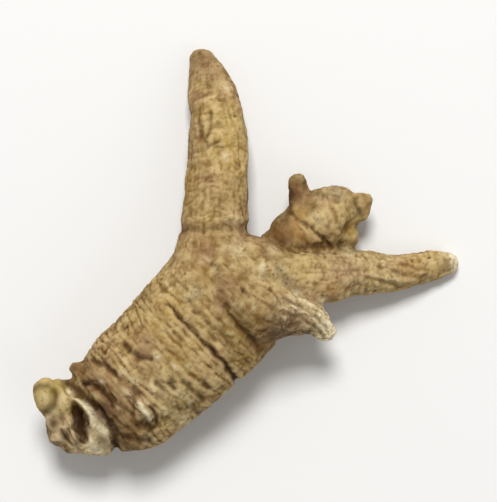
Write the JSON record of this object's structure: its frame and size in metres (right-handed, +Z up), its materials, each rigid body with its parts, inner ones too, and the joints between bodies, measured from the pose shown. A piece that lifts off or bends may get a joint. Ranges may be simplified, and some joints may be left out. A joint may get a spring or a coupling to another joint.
{
  "type": "ginseng root",
  "caption": "Dried ginseng root lying on its side: ringed trunk, small rhizome head with a stem scar, and forked tapering limbs.",
  "frame": {"origin": "bottom centre of the bounding box, on the surface that the root lies on", "axes": "+Z up; +X along the footprint's longer side, from the rhizome head's side to the side limb's tip; +Y towards the long limb's tip"},
  "size_m": [0.0546, 0.0524, 0.0152],
  "materials": {
    "root_skin": null
  },
  "bodies": {
    "root": {"ginseng_root": "root_skin"}
  },
  "joints": []
}
